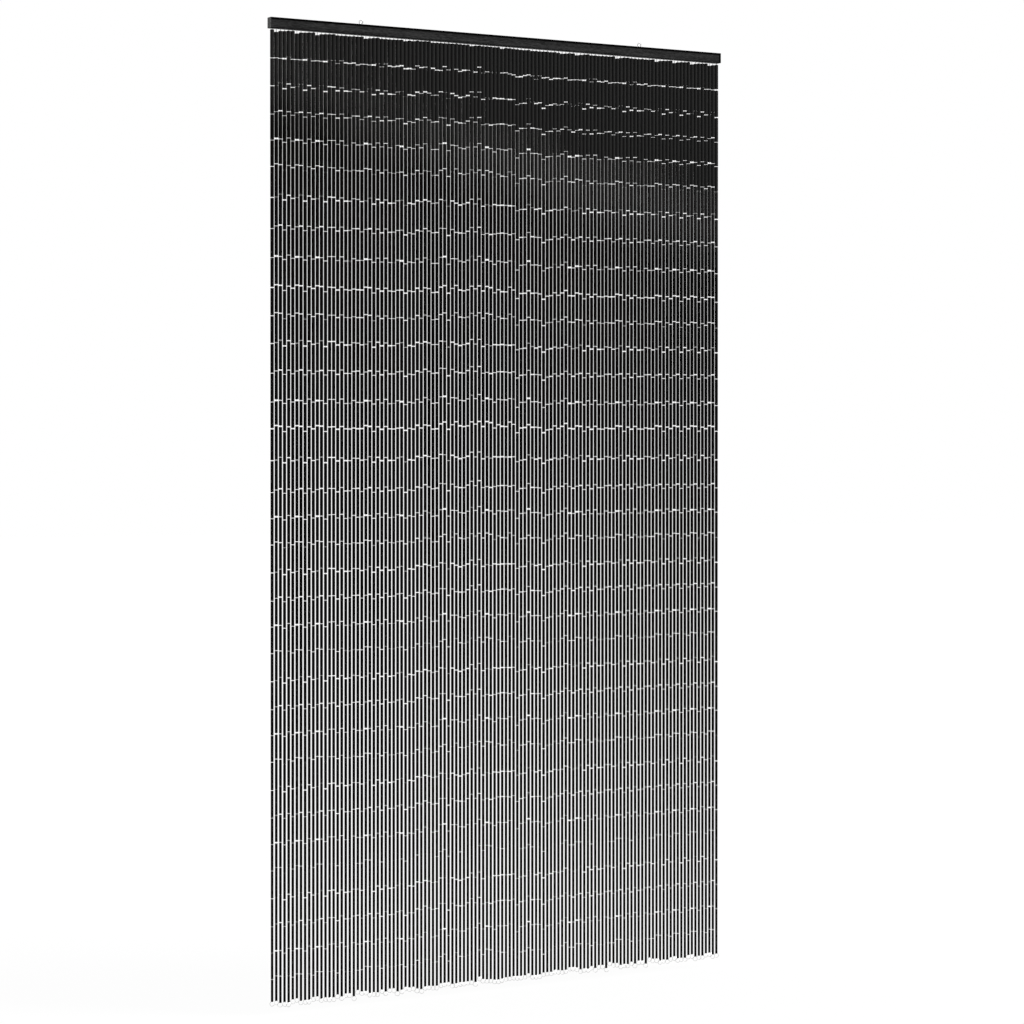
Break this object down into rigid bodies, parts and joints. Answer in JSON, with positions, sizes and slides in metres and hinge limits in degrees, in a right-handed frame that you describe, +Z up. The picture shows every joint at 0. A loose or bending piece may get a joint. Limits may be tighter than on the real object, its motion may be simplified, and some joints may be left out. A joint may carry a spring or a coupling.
{
  "type": "bamboo bead door curtain on a wooden head rail",
  "caption": "Tall curtain of black lacquered bamboo tube beads on wire strings, hung from a slim black wooden rail with screw eyes on top.",
  "frame": {"origin": "middle of the rail's top face, halfway between the two screw eyes that hold the curtain up", "axes": "+X along the rail, -Y towards the side seen first, +Z up"},
  "size_m": [1.2, 0.019, 2.2191],
  "materials": {
    "rail_paint": "satin black paint over fine straight wood grain",
    "wire_steel": "bright zinc-plated steel wire",
    "bead_lacquer": "black lacquered bamboo with a soft sheen"
  },
  "bodies": {
    "root": {"head_rail": "rail_paint", "eye_left": "wire_steel", "eye_right": "wire_steel", "string_curtain": "bead_lacquer"}
  },
  "joints": []
}
